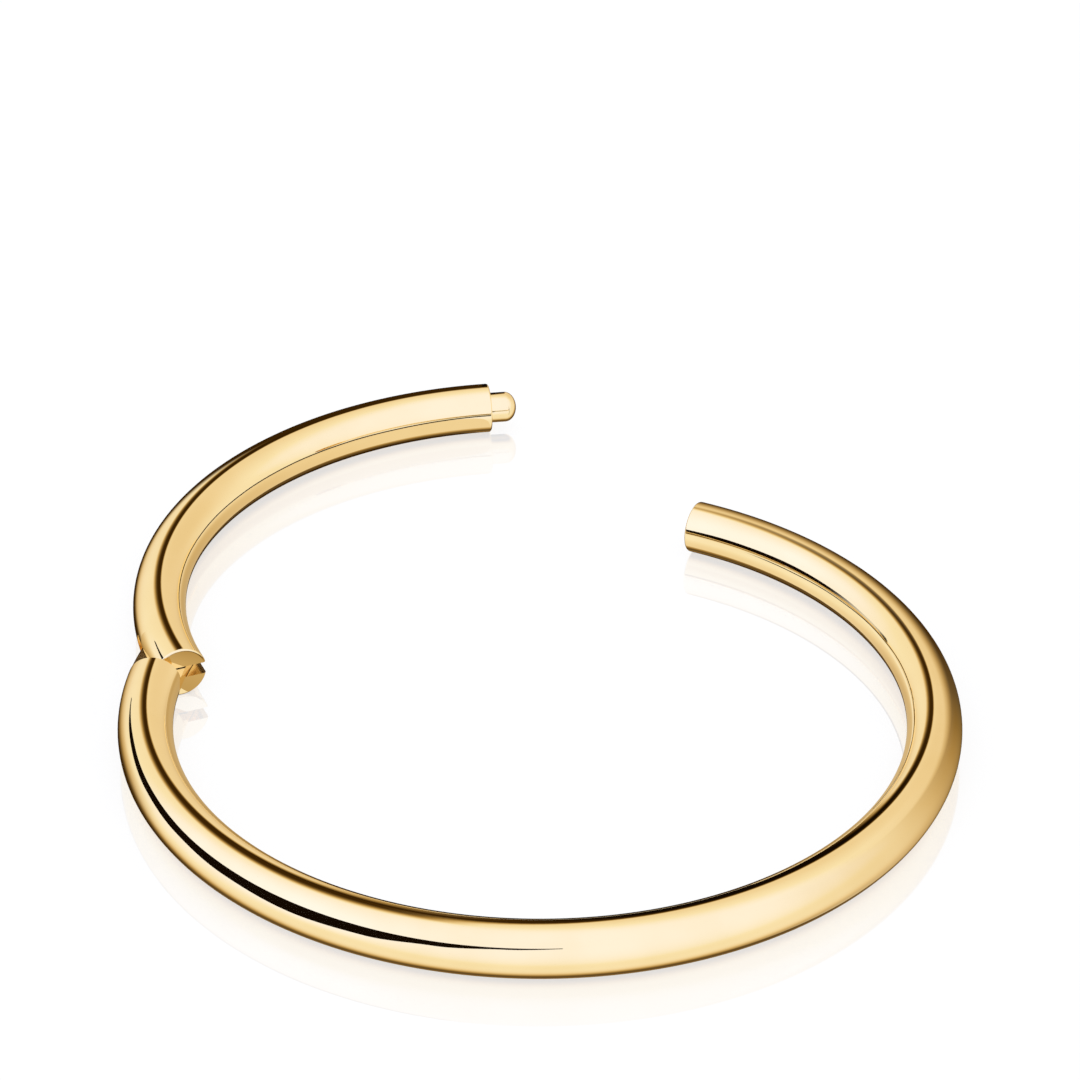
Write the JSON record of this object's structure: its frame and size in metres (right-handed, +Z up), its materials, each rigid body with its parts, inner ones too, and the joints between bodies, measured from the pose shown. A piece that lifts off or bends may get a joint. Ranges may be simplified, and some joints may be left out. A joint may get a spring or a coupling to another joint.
{
  "type": "nose ring",
  "caption": "Round polished ring whose hinged segment swings open on a pin and locks with a round-nosed stud, lying open on its side.",
  "frame": {"origin": "bottom centre of the open ring's box, on the surface that it lies on", "axes": "+Z up, square to the ring's plane and along the hinge pin; +Y away from the picture's camera, past the opened segment; +X to the right"},
  "size_m": [0.0186, 0.0232, 0.0012],
  "materials": {
    "gold_hoop": "mirror-polished yellow gold plating",
    "gold_segment": "mirror-polished yellow gold plating",
    "gold_pin": "turned yellow gold plating",
    "gold_stud": "mirror-polished yellow gold plating"
  },
  "bodies": {
    "hoop": {"main_hoop": "gold_hoop"},
    "segment": {"hinged_segment": "gold_segment", "hinge_pin": "gold_pin", "locking_stud": "gold_stud"}
  },
  "joints": [
    {"name": "segment_hinge", "type": "hinge", "parent": "hoop", "child": "segment", "pos_m": [-0.00858, -0.00015, 0.0006], "axis": [0, 0, 1], "range_deg": [-32.4, 57.6]}
  ]
}
